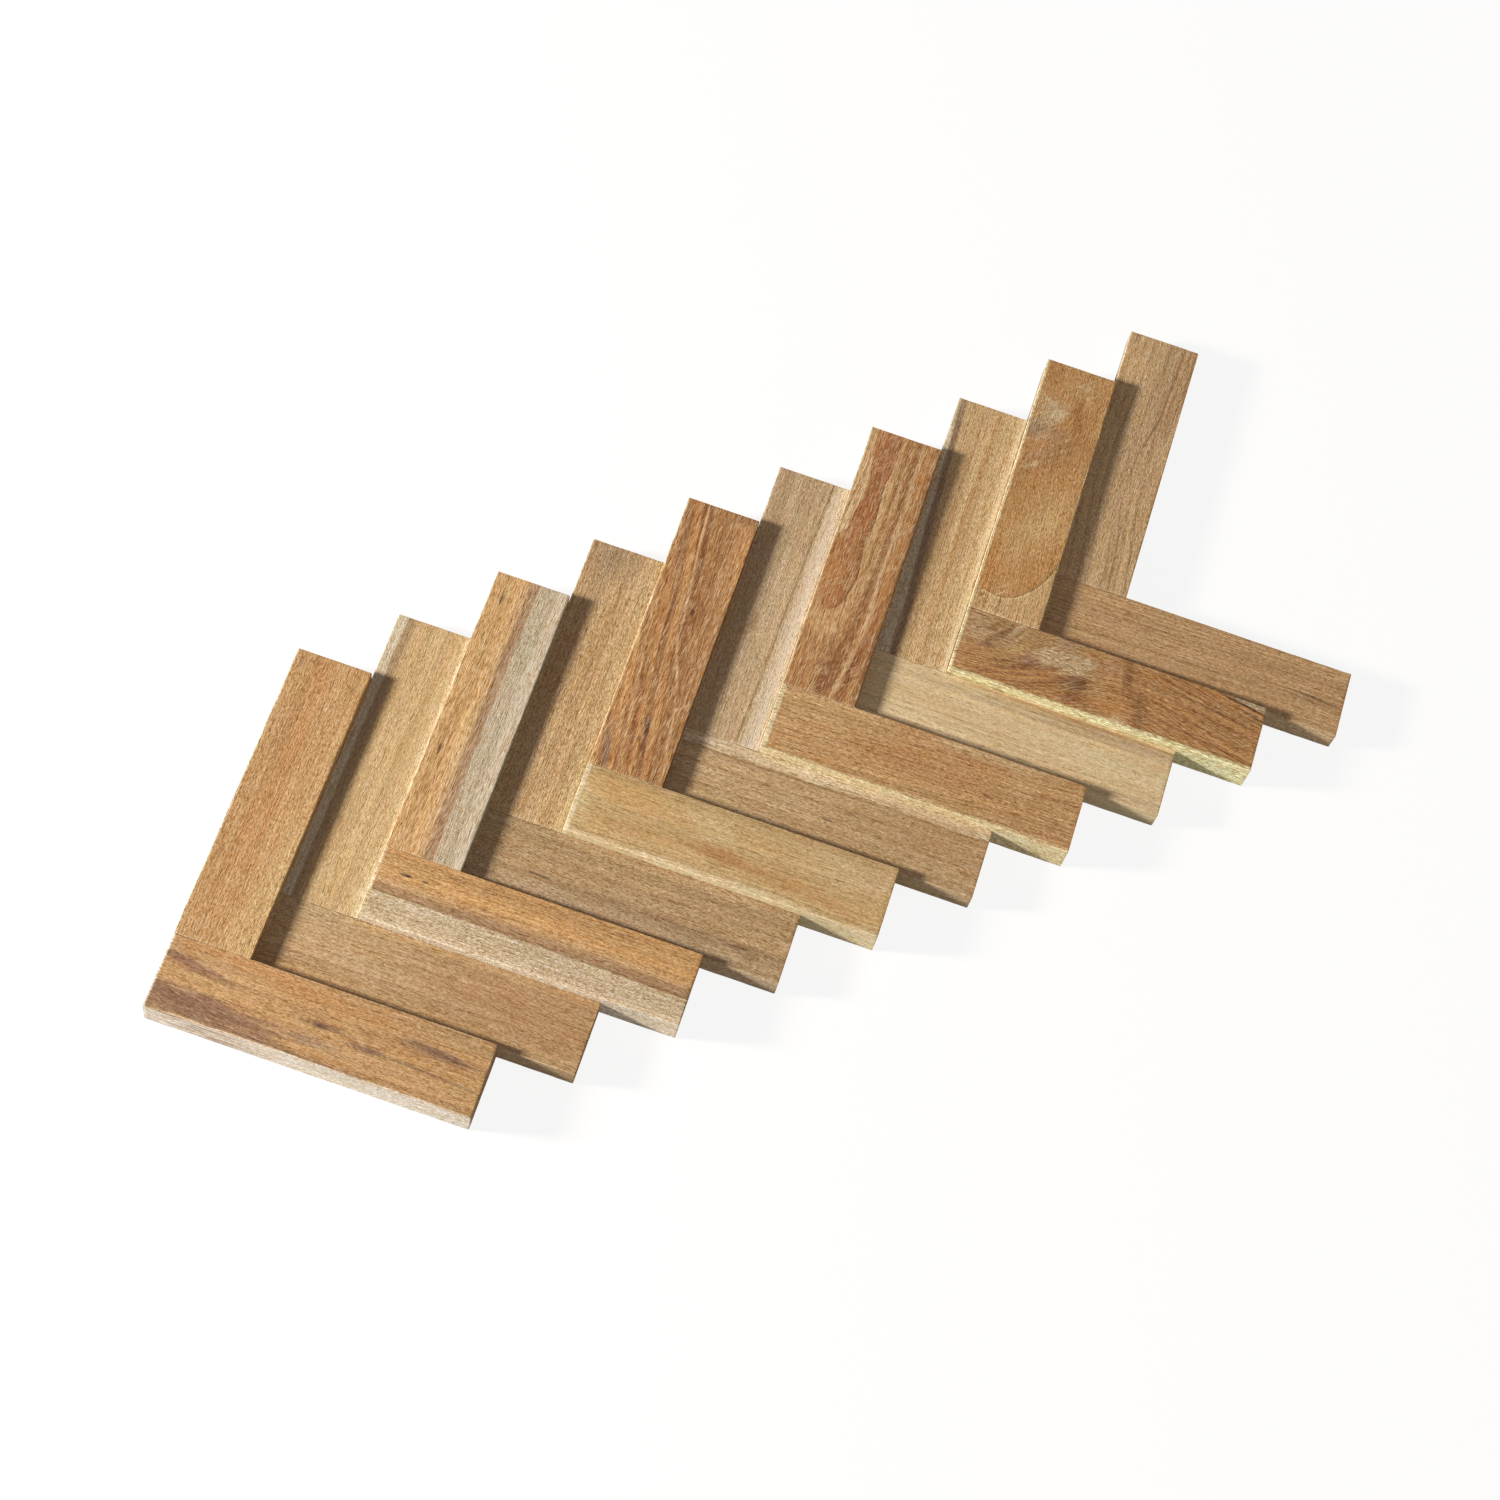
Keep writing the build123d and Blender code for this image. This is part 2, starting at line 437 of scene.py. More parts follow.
    # Painted highlight: a pale rim along the edge towards the lamp stands in for the light that edge catches,
    # and the painted shade takes it off lower down that side. Every arris also gets some of the rim's colour
    # as wear.
    frayed = addNode(tree, "ShaderNodeMath", {0: fibre, 1: sanding["rimFray"], 2: given["Edge"]},
                     operation="MULTIPLY_ADD")
    outer, inner = [addNode(tree, "ShaderNodeMath", {0: given["Rim"], 1: past}, operation="ADD")
                    for past in sanding["rimFade"]]
    rim = addNode(tree, "ShaderNodeMapRange", {"Value": frayed, "From Min": outer, "From Max": inner},
                  interpolation_type="SMOOTHSTEP")
    worn = addNode(tree, "ShaderNodeMath", {0: arris, 1: sanding["wornPale"]}, operation="MULTIPLY")
    rim = addNode(tree, "ShaderNodeMath", {0: rim, 1: worn}, operation="MAXIMUM")
    for share in (given["Rim Pale"], outsideLampSideShade):
        rim = addNode(tree, "ShaderNodeMath", {0: rim, 1: share}, operation="MULTIPLY")

    # Raised fibres are bleached and hollows richer in colour, so red varies least and blue most
    shade = shadeBy(fibre, given["Fibre"])
    for other in (shadeBy(grit, given["Grit"]), fleckShade, poreShade):
        shade = addNode(tree, "ShaderNodeMath", {0: shade, 1: other}, operation="MULTIPLY")
    shade = addNode(tree, "ShaderNodeVectorMath", {0: shade, 1: sanding["contrast"]}, operation="POWER")
    cloud = swing(tree, given["Bent"], sanding["cloudSize"], shift, 2.0, 0.6)
    cloud = addNode(tree, "ShaderNodeVectorMath", {0: cloud, 1: sanding["cloudTint"], 2: (1, 1, 1)},
                    operation="MULTIPLY_ADD")
    colour = addNode(tree, "ShaderNodeMix", {0: rim, 6: given["Colour"], 7: given["Rim Colour"]},
                     data_type="RGBA").outputs[2]
    for layer in (cloud, shade, tint):
        colour = addNode(tree, "ShaderNodeVectorMath", {0: colour, 1: layer}, operation="MULTIPLY")
    colour = addNode(tree, "ShaderNodeMix", {0: hair, 6: colour, 7: linearColour(sanding["hairColour"])},
                     data_type="RGBA").outputs[2]
    roughness = addNode(tree, "ShaderNodeMapRange",
                        {"Value": fibre, "From Min": noiseSpan[0], "From Max": noiseSpan[1],
                         "To Min": sanding["roughness"][0], "To Max": sanding["roughness"][1]})
    rise = addNode(tree, "ShaderNodeMath", {0: fibre, 1: sanding["fibreRise"], 2: grit},
                   operation="MULTIPLY_ADD")
    rise = addNode(tree, "ShaderNodeMath", {0: pore, 1: sanding["poreRise"], 2: rise},
                   operation="MULTIPLY_ADD")
    addNode(tree, "NodeGroupOutput", {"Colour": colour, "Roughness": roughness, "Height": rise})
    return tree


woodMark = woodMarkGroup()
teakFigure = teakFigureGroup()
teakSurface = teakSurfaceGroup()

wholeBar = 400      # mm, past both ends and all sides from any place in a bar
bandMiddle = 94     # mm along a bar


def mark(at, reach, colour, amount=0.6, lean=0, soft=0.6, fray=0.8, speckle=None, grain=None):
    # at: mm along the bar from its left end, across its face from its upper edge, and above its back
    # reach: half its length, breadth and depth in mm. lean: degrees by which its far end dips.
    # speckle and grain: how strong the cross flecks and the fibres are in the mark, where it has its own
    return {"at": (*at, 0)[:3], "reach": (*reach, wholeBar)[:3], "colour": colour, "amount": amount,
            "lean": lean, "soft": soft, "fray": fray, "speckle": speckle, "grain": grain}


def band(across, reach, *rest, above=0, height=wholeBar, **own):
    # A mark along the whole bar, as sapwood makes. With a height it lies on the bar's front side.
    return mark((bandMiddle, across, above), (wholeBar, reach, height), *rest, **own)


# Where nothing else is said of a bar's wood
plainTeak = {
    "heart": "#C8A476", "deep": "#B2885A", "line": "#94683E",
    "deepAmount": 0.5, "lineAmount": 0.35, "toneAmount": 0.10,
    "pith": (0, -60, 8), "tilt": (0, 0, 0), "ringGap": 6.0, "wander": 3.0,
    "knot": (0, 0, -300), "knotReach": (20, 20, 20), "knotPush": 0.0,
    "grain": 1.0, "fibre": 1.3, "grit": 2.8, "gritLength": 2.2, "pores": 0.45, "hairs": 0.30,
    "scratches": 0.25, "scratchLean": 50.0, "speckle": 0.12,
    # rim: mm of painted highlight along the edge towards the lamp; rimPale: how strong it and the worn
    # arrises are; rimColour: their colour
    "rim": 0.9, "rimPale": 0.6, "rimColour": "#E8D2A8", "marks": [],
}

# Each bar's own wood, where it differs from that
barLooks = {}

barLooks["up_bar_01"] = {
    "heart": "#CFAA78", "deep": "#BE8D57", "lineAmount": 0.2, "pith": (0, 75, -25), "ringGap": 7.0,
    "grain": 1.1,
    "marks": [
        mark((120, 19), (95, 8), "#BA8452", 0.45, -2, 0.9),
        mark((30, 39), (45, 9), "#D3B382", 0.5, 0, 0.9),
        mark((60, 12), (40, 3), "#BE864C", 0.4, -1, 0.8),
        mark((28, 9), (26, 0.8), "#B3783F", 0.5, 4, 0.8),
        mark((72, 12.5), (34, 0.8), "#BC8757", 0.45, 2, 0.8),
        mark((60, 23), (30, 0.7), "#B27C4A", 0.45, 1, 0.8),
        mark((181, 4.5), (4, 0.7), "#837056", 0.7, 3),
    ],
}

barLooks["up_bar_02"] = {
    "heart": "#D3B788", "deep": "#C4A06E", "lineAmount": 0.16, "grain": 0.76, "hairs": 0.2,
    "marks": [
        band(0, 5.9, "#D8CDB4", 0.95, 0, 0.15, 0.3),
        band(8.2, 2.2, "#A0866A", 0.75, 0.2, 0.5, 0.5),
        # Painted reflected light: pale bands at the lower edge, where light thrown back from the raised
        # neighbour's lit side falls
        band(43, 5, "#CFBE96", 0.6, 0, 0.8),
        band(46, 3.4, "#EADAB8", 0.8, 0, 0.5, 0.4),
    ],
}

# A broad band of grey sapwood, a brown line beside it, and two pin holes
barLooks["up_bar_03"] = {
    "heart": "#DBB37B", "deep": "#CC9C67", "lineAmount": 0.2, "grain": 1.15, "gritLength": 4.5,
    "hairs": 0.4, "scratches": 0.4, "scratchLean": 20.0,
    "marks": [
        band(19, 3.4, "#DDBC8E", 0.5),
        band(24.7, 3.8, "#A5866A", 0.88, 0, 0.5),
        band(37.2, 9.9, "#D5C8B0", 0.97, 0, 0.05, 0.2, speckle=0.16, grain=0.7),
        band(32.2, 5.2, "#CBBFA6", 0.9, 0, 0.2, 0.5, speckle=0.42, grain=0.7),
        band(41.6, 1.8, "#E0D0BA", 0.6, 0, 0.6, 0.6),
        mark((60, 34.4), (50, 0.4), "#968770", 0.5, 0, 0.6, 1),
        mark((68.5, 7.2), (4.6, 0.8), "#2E1F18", 0.95, 1, 0.4),
        mark((82, 7.2), (14, 0.5), "#825A32", 0.5, 0, 0.7),
        mark((172, 7.7), (4, 0.7), "#2E1F18", 0.9, 1, 0.4),
    ],
}

barLooks["up_bar_04"] = {
    "heart": "#D0B082", "deep": "#B99362", "lineAmount": 0.25, "tilt": (0, 0.05, 0), "grain": 1.15,
    "marks": [
        mark((182, 18), (14, 16), "#A18B71", 0.6, 0, 0.8),
        mark((90, 6), (130, 9), "#AD8D6A", 0.45, 0, 0.8),
        mark((70, 39), (75, 6), "#CEB180", 0.45, 0, 0.9),
        # Painted reflected light: the pale band at the lower edge, where light thrown back from the raised
        # neighbour's lit side falls
        band(46.5, 8, "#CCB488", 0.9, 0, 0.8),
        mark((55, 35), (45, 0.6), "#BA8B56", 0.45, 3, 0.7),
        mark((150, 22), (40, 0.7), "#BA9C6E", 0.5, 3, 0.7),
    ],
}

# Steep dark rings with pale streaks between them, and a pin hole
barLooks["up_bar_05"] = {
    "heart": "#C5975F", "deep": "#AC7341", "line": "#88532E", "deepAmount": 0.6, "lineAmount": 0.5,
    "toneAmount": 0.2, "tilt": (0, -0.13, 0), "ringGap": 5.0, "wander": 4.0, "fibre": 2.0, "grit": 3.3,
    "gritLength": 5.0, "hairs": 0.55, "scratches": 0.4, "rim": 0.8, "rimPale": 0.8,
    "rimColour": "#E6CCA4",
    "marks": [
        mark((120, 39), (75, 7), "#C69868", 0.5, 0, 0.8),
        mark((10, 6), (15, 2.4), "#8B6D5A", 0.75, -8, 0.7, 1.4),
        mark((22, 12), (13, 4), "#C49A66", 0.5, -10, 0.9),
        mark((32, 16.2), (32, 0.8), "#7D4422", 0.55, -11, 0.7),
        mark((22, 25.8), (22, 1.4), "#6E4638", 0.5, -11, 0.7, 2.2),
        mark((34, 23.3), (7, 1.3), "#4C251E", 0.65, -9, 0.6, 2),
        mark((46, 13.6), (50, 0.7), "#905628", 0.6, -9.5, 0.6, 1),
        mark((88, 14.4), (52, 0.6), "#9E6539", 0.6, -8, 0.6, 1),
        mark((40, 41), (40, 0.8), "#8E5D33", 0.6, -8, 0.6, 1),
        mark((90, 28.8), (24, 1.6), "#925F36", 0.6, -13, 0.7, 1.2),
        mark((112, 12.8), (26, 0.7), "#7C4820", 0.65, -3),
        mark((118, 14.8), (10, 0.5), "#753F19", 0.5, 3),
        mark((166, 18.4), (26, 1.7), "#8C5830", 0.7, -7, 0.6, 1),
        mark((168, 9.4), (22, 0.6), "#8E5E3A", 0.6, 3),
        mark((60, 20.4), (30, 0.6), "#96653C", 0.5, -8),
        mark((128, 30), (50, 0.5), "#BC8B5A", 0.45, -3),
        mark((150, 20.5), (36, 1.4), "#824C2C", 0.65, -6, 0.7),
        mark((158, 4.2), (32, 1), "#9F7056", 0.6, -5, 0.7),
        mark((112, 29), (9, 4.5), "#8A562E", 0.55, 0, 0.9),
        mark((114.5, 26), (1.9, 1), "#5A402A", 0.9, 0, 0.5),
        mark((32, 38.3), (30, 0.9), "#D8B086", 0.8, -9.5, 0.5),
        mark((78, 28.6), (22, 0.9), "#DAB186", 0.8, -18, 0.5),
        mark((128, 19.6), (32, 0.8), "#DEB58A", 0.8, -7, 0.5),
        mark((170, 15.3), (20, 0.8), "#E4BD90", 0.8, -5, 0.5),
        mark((30, 13.2), (28, 0.7), "#D4A876", 0.7, -10, 0.5),
        mark((82, 6), (30, 0.8), "#D2A97E", 0.7, -8, 0.5),
        mark((110, 11.3), (26, 0.7), "#D0A67C", 0.7, -4, 0.5),
        mark((158, 6.8), (32, 0.7), "#A37751", 0.7, -6.5, 0.5),
        mark((53, 40), (4, 0.8), "#E0BA90", 0.7, 45),
        mark((146, 37.5), (5, 0.8), "#C7A06F", 0.7, 50),
        mark((187, 38), (5, 8), "#8A6844", 0.55),
    ],
}

barLooks["up_bar_06"] = {
    "heart": "#D2BA95", "deep": "#BC9F76", "lineAmount": 0.25, "grain": 0.92,
    "marks": [
        band(41.4, 6.2, "#E0D2BE", 0.92, 0.9, 0.12, 0.3, speckle=0, grain=0.5),
        band(36, 3, "#DCC7A3", 0.5, 1.2, 0.5),
        band(33, 0.6, "#9C815A", 0.75, 1.2, 0.6, 0.6),
        # Painted reflected light: the pale band at the lower edge, where light thrown back from the raised
        # neighbour's lit side falls
        band(47, 6, "#EEE0C4", 0.9, 0, 0.8, grain=0.5),
        band(4, 9, "#B89772", 0.4, 0, 0.9),
        mark((78, 17), (8, 2.6), "#976D48", 0.5, 0, 0.9),
    ],
}

# A tongue of brown rings cut slantwise, over straight dark lines
barLooks["up_bar_07"] = {
    "heart": "#C59863", "deep": "#B07642", "line": "#8A5029", "deepAmount": 0.4, "lineAmount": 0.4,
    "toneAmount": 0.15, "ringGap": 4.0, "wander": 4.0, "fibre": 1.75, "grit": 3.0, "gritLength": 4.5,
    "hairs": 0.55, "scratches": 0.6, "rim": 0.9, "rimPale": 0.85, "rimColour": "#ECD6AC",
    "marks": [
        mark((26, 8), (34, 6), "#C08D5B", 0.6, 0, 0.7),
        mark((52, 11), (14, 10), "#DAB07A", 0.7),
        mark((62, 19.6), (20, 3), "#DAB27D", 0.6, 12, 0.7),
        mark((150, 4.6), (48, 5), "#E3C090", 0.92, 0, 0.2),
        mark((138, 3.2), (24, 0.6), "#8C6232", 0.7, 4),
        mark((160, 5), (26, 0.5), "#B6855A", 0.6, -2),
        mark((125, 22.3), (78, 2.4), "#E0B884", 0.75, 0, 0.5),
        mark((86.5, 10.8), (29.6, 10.9), "#81512B", 0.8, 0, 0.02, 0.06),
        mark((118, 13.8), (31, 7), "#85532E", 0.8, 4, 0.02, 0.06),
        mark((145, 14.8), (38, 5.2), "#916036", 0.7, 0, 0.04, 0.06),
        mark((180, 13.4), (34, 8.4), "#8E5C34", 0.7, -3, 0.03, 0.06),
        mark((86, 10.2), (29, 10), "#BC854F", 0.96, 0, 0.02, 0.08),
        mark((118, 13.2), (30, 6.3), "#B47C4C", 0.96, 4, 0.04, 0.08),
        mark((145, 14.5), (38, 4.5), "#B57D4C", 0.96, 0, 0.05, 0.08),
        mark((181, 13.2), (34, 7.6), "#B87F50", 0.96, -3, 0.04, 0.08),
        mark((66, 11), (9, 5), "#B27148", 0.4, 0, 0.9, 1.6),
        mark((92, 17), (24, 3), "#A0744A", 0.6, 3, 0.7),
        mark((127, 11.5), (13, 3), "#A36037", 0.55, 2, 0.9, 1.4),
        mark((158, 16.5), (28, 2.2), "#A2704C", 0.6, 0, 0.8),
        mark((12, 24), (18, 4.6), "#8A5630", 0.8, 8, 0.6, 1.2),
        mark((44, 26), (34, 1.5), "#915C32", 0.7, 6, 0.7),
        mark((26, 21.4), (14, 0.8), "#BA8857", 0.6, 12),
        mark((50, 29.6), (24, 1.8), "#9E6638", 0.75, 4, 0.7),
        mark((112, 25.6), (64, 0.9), "#A97948", 0.6, 1),
        mark((122, 27.9), (72, 1.1), "#D8B07C", 0.6, 1),
        mark((116, 31.2), (76, 1.2), "#93623A", 0.8, 0.9),
        mark((140, 33), (50, 0.5), "#95683C", 0.6, 0.6),
        mark((18, 31.4), (20, 1.3), "#D6AE82", 0.85, 8, 0.5),
        mark((48, 35), (20, 1.3), "#D8B184", 0.8, 3, 0.5),
        mark((75, 35), (18, 1.4), "#D8B286", 0.75, -3, 0.5),
        mark((136, 34.7), (58, 1.2), "#E0BE92", 0.8, 0.8, 0.5),
        mark((20, 36.2), (26, 2.4), "#884C22", 0.8, 6, 0.6, 1.2),
        mark((50, 39.6), (28, 1.7), "#9C6438", 0.7, 5, 0.7),
        mark((40, 41.4), (32, 0.7), "#AE7947", 0.65, 5, 0.5),
        mark((26, 43.4), (34, 1.2), "#865430", 0.6, 2, 0.7),
        mark((150, 38.6), (42, 3), "#B27C4B", 0.5, 0, 0.8),
        mark((76, 42), (14, 2), "#C99056", 0.5, 0, 0.8),
        mark((96, 38.5), (7, 0.8), "#D6B68C", 0.55, 52, 0.8, 1.4),
        mark((123, 38.5), (6, 0.9), "#DAB78C", 0.6, 48, 0.8, 1.4),
        mark((144, 39.5), (6, 0.7), "#D4AE80", 0.55, 45, 0.8, 1.4),
        mark((104, 19), (5, 0.6), "#CA9A68", 0.7, 55),
        mark((132, 27.5), (7, 0.6), "#D0A674", 0.6, 50),
    ],
}

barLooks["up_bar_08"] = {
    "heart": "#DCBC8B", "deep": "#C8A16C", "lineAmount": 0.2, "grain": 1.0,
    "marks": [
        mark((80, 2.2), (400, 4.8), "#E0D4B8", 0.9, -2, 0.3, 0.4),
        mark((90, 8.2), (130, 2.3), "#8B7059", 0.85, -2.4, 0.5),
        mark((110, 27), (70, 2), "#C59863", 0.5, 1, 0.7),
        mark((104, 23.4), (70, 0.6), "#ECD2A4", 0.55, 0, 0.7),
        band(36, 5, "#E6CB99", 0.45, 0, 0.8),
        # Painted reflected light: the cream band at the lower edge, where light thrown back from the raised
        # neighbour's lit side falls
        band(46, 5.2, "#FAEAC4", 0.95, 0, 0.6, 0.4, grain=0.6),
    ],
}

# A broad tongue of redder wood, and a bleached, hairy patch at its upper end
barLooks["up_bar_09"] = {
    "heart": "#D9B885", "deep": "#CCA671", "line": "#B68A58", "lineAmount": 0.15, "wander": 4.0,
    "grain": 1.08, "scratches": 0.7, "scratchLean": 48.0, "rim": 1.4, "rimPale": 0.9,
    "rimColour": "#F0E2B8",
    "marks": [
        mark((73.6, 14), (62, 34.6), "#F0D29C", 0.9, 0, 0.02, 0.02),
        mark((73.6, -2), (63.4, 25), "#F0D29C", 0.9, 0, 0.02, 0.02),
        mark((75, 14), (62.2, 34), "#8E6534", 0.85, 0, 0.01, 0.02),
        mark((75, -2), (63.6, 24.4), "#8E6534", 0.85, 0, 0.01, 0.02),
        mark((76, 14), (62, 33), "#CC9B62", 0.97, 0, 0.03, 0.02),
        mark((76, -2), (63.6, 23.4), "#CC9B62", 0.97, 0, 0.03, 0.02),
        mark((146, 8), (96, 72), "#CA9B63", 0.95, 0, 0.1, 0.1),
        mark((68, 26), (24, 11), "#E0C086", 0.65, 25, 0.9),
        mark((36, 5), (24, 4), "#C68A4A", 0.5, 0, 0.9),
        mark((97, 8), (13, 7), "#BA8A4E", 0.5, 0, 0.9),
        mark((118, 20), (26, 7), "#AC7A48", 0.6, 50, 0.9, 1.2),
        mark((130, 27), (12, 4), "#A77C49", 0.65, 45, 0.8, 1.2),
        mark((87, 19), (18, 0.7), "#C7A16C", 0.4, 42, 0.9, 1.6),
        mark((120, 12), (8, 2.6), "#CFAA8A", 0.5, 50, 0.9, 2),
        mark((133, 19), (9, 1.6), "#A98058", 0.5, 55, 0.9, 2),
        mark((138, 20), (7, 4), "#A0775A", 0.45, 40, 0.9, 1.6),
        mark((153, 29), (17, 5), "#AA703A", 0.65, -12, 0.8),
        mark((175, 8), (10, 6), "#B27E4B", 0.5, 0, 0.9),
        mark((137, 6), (9, 6), "#A79074", 0.8, 50, 0.6, 1.6),
        mark((152, 12), (9, 8), "#CAB28B", 0.8, 55, 0.6, 1.6),
        mark((151, 17), (5, 3.4), "#E2D0AA", 0.7, 30, 0.7, 1.4),
        mark((178, 24), (14, 12), "#C49B64", 0.45, 0, 0.9),
        mark((110.5, 11.5), (9, 1.5), "#DEC49C", 0.6, 56, 0.9, 2),
        mark((131, 11), (11, 1.2), "#CCB08A", 0.6, 62, 0.9, 1.6),
        mark((142, 3.6), (4, 1), "#D2B6A0", 0.85, 60, 0.6, 1.2),
        mark((148.5, 13), (8, 0.9), "#DCC9A4", 0.55, 52, 0.9, 1.4),
        mark((159.5, 8), (7, 1), "#DFCBA2", 0.7, -62, 0.8, 1.2),
        mark((172, 24), (15, 1), "#CEAE80", 0.6, 48, 0.8, 1.6),
        mark((180, 28), (11, 0.9), "#E0C8A0", 0.5, 48, 0.8, 1.6),
        mark((127, 27), (12, 0.9), "#CFAF7D", 0.55, 50, 0.8, 1.6),
        mark((140, 31), (12, 0.9), "#CCAC7D", 0.5, 45, 0.8, 1.6),
        band(47.2, 2.8, "#EED6A6", 0.7, 0, 0.3, 0.3),
    ],
}

barLooks["up_bar_10"] = {
    "heart": "#DFBF91", "deep": "#C9A87B", "line": "#97764F", "lineAmount": 0.45, "ringGap": 8.0,
    "knot": (96, 40, 8), "knotReach": (62, 60, 60), "knotPush": 9.0,
    "marks": [
        mark((165, 7), (13, 5), "#DDBA86", 0.6, 0, 0.7),
        mark((88, 28), (36, 13), "#DAB890", 0.45, 0, 0.9),
        mark((150, 36), (46, 8), "#B48F66", 0.45, 3, 0.9),
        mark((22, 31.2), (24, 0.6), "#80613F", 0.65, -5),
        mark((52, 27), (14, 0.5), "#90714A", 0.5, -9),
        mark((96, 26.2), (14, 0.5), "#856442", 0.6, 3),
        mark((119, 30.6), (15, 0.7), "#876743", 0.7, 13),
        mark((158, 35.2), (34, 0.7), "#80613F", 0.65, 4),
        mark((27, 40), (26, 0.6), "#8A6A45", 0.55, -6),
        mark((150, 42.6), (30, 0.6), "#8A6A45", 0.5, 3),
    ],
}

# Grey-brown streaks, and a pale front side
barLooks["down_bar_01"] = {
    "heart": "#C9A272", "deep": "#BB8D56", "lineAmount": 0.2, "scratches": 0.35, "scratchLean": 38.0,
    "rim": 1.2, "rimPale": 0.9, "rimColour": "#F2E8D4",
    "marks": [
        band(48, 6, "#E3D6C3", 0.95, 0, 0.1, 0.2, height=24),
        mark((50, 23), (58, 2.6), "#C29C69", 0.6, 4, 0.8),
        mark((70, 6), (60, 4), "#C68B50", 0.5, 4, 0.9),
        mark((14, 14), (22, 3), "#8E6450", 0.85, 8, 0.6, 1.6),
        mark((7, 12.5), (9, 1.2), "#79553F", 0.6, 8, 0.7),
        mark((32, 17.6), (16, 1), "#967652", 0.6, 7, 0.7),
        mark((24, 36), (50, 8.6), "#8F6C56", 0.88, 2, 0.35, 1.6),
        mark((22, 35), (28, 2.6), "#79543F", 0.65, 4, 0.7, 1.6),
        mark((20, 41), (26, 1.4), "#7E5E4B", 0.5, 2, 0.7),
        mark((60, 43.6), (62, 0.8), "#72594A", 0.6, 0.5),
        mark((91, 33), (15, 2.6), "#957964", 0.65, 0, 0.8, 1.8),
        mark((96, 22), (11, 2), "#7F5E4A", 0.8, -1, 0.7, 1.4),
        mark((95, 22.2), (4.5, 1.1), "#5E4234", 0.8),
        mark((123, 27.4), (10, 2), "#775845", 0.8, 0, 0.7, 1.4),
        mark((116, 25.6), (4, 1.2), "#8B5F41", 0.7, 30),
        mark((154, 29), (38, 0.9), "#81614A", 0.65, 3),
        mark((160, 16.2), (21, 2.8), "#886A54", 0.85, 3, 0.6, 1.6),
        mark((163, 16.6), (10, 1.2), "#75513A", 0.7, 4, 0.7),
        mark((165, 2.5), (12, 1.6), "#A28669", 0.5, 4, 0.8),
        mark((108, 30), (7, 0.8), "#BB9A74", 0.6, -40, 0.7),
    ],
}

barLooks["down_bar_02"] = {
    "heart": "#C6A77E", "deep": "#B28857", "lineAmount": 0.22, "grain": 0.9,
    "marks": [
        mark((150, 20), (52, 15), "#AE7D4F", 0.45, 0, 0.9),
        mark((40, 12), (32, 9), "#CCB084", 0.5, 0, 0.9),
        mark((60, 12.8), (25, 0.5), "#8A6F4E", 0.5),
        mark((140, 24), (30, 0.6), "#946940", 0.5, 1),
    ],
}

# The same sapwood band, brown line and pin holes as its neighbour
barLooks["down_bar_03"] = {
    "heart": "#D7AB71", "deep": "#C99761", "lineAmount": 0.2, "grain": 1.05, "rim": 1.5, "rimPale": 0.75,
    "rimColour": "#F2DCB8",
    "marks": [
        band(21, 3, "#D3AE80", 0.5, 0.5, 0.6, 0.9),
        band(24.9, 3.2, "#A38262", 0.85, 0.5, 0.6, 1),
        band(37.6, 9.9, "#D8C6A7", 0.97, 0.4, 0.05, 0.2, speckle=0.36),
        band(43.5, 2.4, "#E4D0AE", 0.6, 0.2, 0.5, 0.6, speckle=0.2),
        band(27, 1, "#997855", 0.75, 0.4, 0.6, 1.2),
        band(33.6, 0.6, "#BCA684", 0.5, 0.4, 0.6, 1),
        band(38.4, 0.6, "#CAB695", 0.5, 0.3, 0.6, 1),
        band(48, 4.4, "#EFDCC2", 0.9, 0, 0.3, 0.4, above=6, height=30),
        mark((17, 13.6), (3.6, 0.7), "#2E1F18", 0.95, 0, 0.4),
        mark((29, 13.6), (1.6, 0.7), "#30211A", 0.9, 0, 0.4),
    ],
}

barLooks["down_bar_04"] = {
    "heart": "#C2A57B", "deep": "#AE8E65", "lineAmount": 0.25, "grain": 1.1, "speckle": 0.14,
    "marks": [
        mark((122, 31), (92, 3.6), "#95775A", 0.6, 1, 0.8),
        mark((80, 39), (95, 5), "#B59D81", 0.5, 0, 0.8),
        band(48, 4, "#D0B694", 0.7, 0, 0.3, 0.4, above=4, height=30),
        mark((42, 29), (6.6, 0.7), "#4E3A28", 0.8, 0, 0.5),
        mark((161, 31.5), (6, 0.6), "#5A432E", 0.7, 0, 0.5),
    ],
}

# Blotches where the grain turns in and out of the face
barLooks["down_bar_05"] = {
    "heart": "#DCBF8B", "deep": "#CDA66E", "lineAmount": 0.22, "ringGap": 3.2, "wander": 6.0,
    "grain": 0.74, "hairs": 0.15, "rim": 2.4, "rimPale": 0.85, "rimColour": "#F4E6C4",
    "marks": [
        band(47, 5, "#EFDAAE", 0.9, 0, 0.3, 0.4, above=4, height=30),
        mark((3, 24), (7, 26), "#E2CC9A", 0.6, 0, 0.7),
        mark((80, 14), (13, 7), "#DCC696", 0.7, 20, 0.8),
        mark((25, 10), (27, 6), "#D9A868", 0.5, 0, 0.9),
        mark((165, 14), (28, 8), "#DAC298", 0.45, 0, 0.9),
        mark((40, 31), (32, 4), "#C3945E", 0.45, -2, 0.9),
        mark((125, 32), (38, 4), "#B8854F", 0.5, 3, 0.9),
        mark((90, 29), (15, 5), "#B88350", 0.75, 5, 0.8),
    ],
}

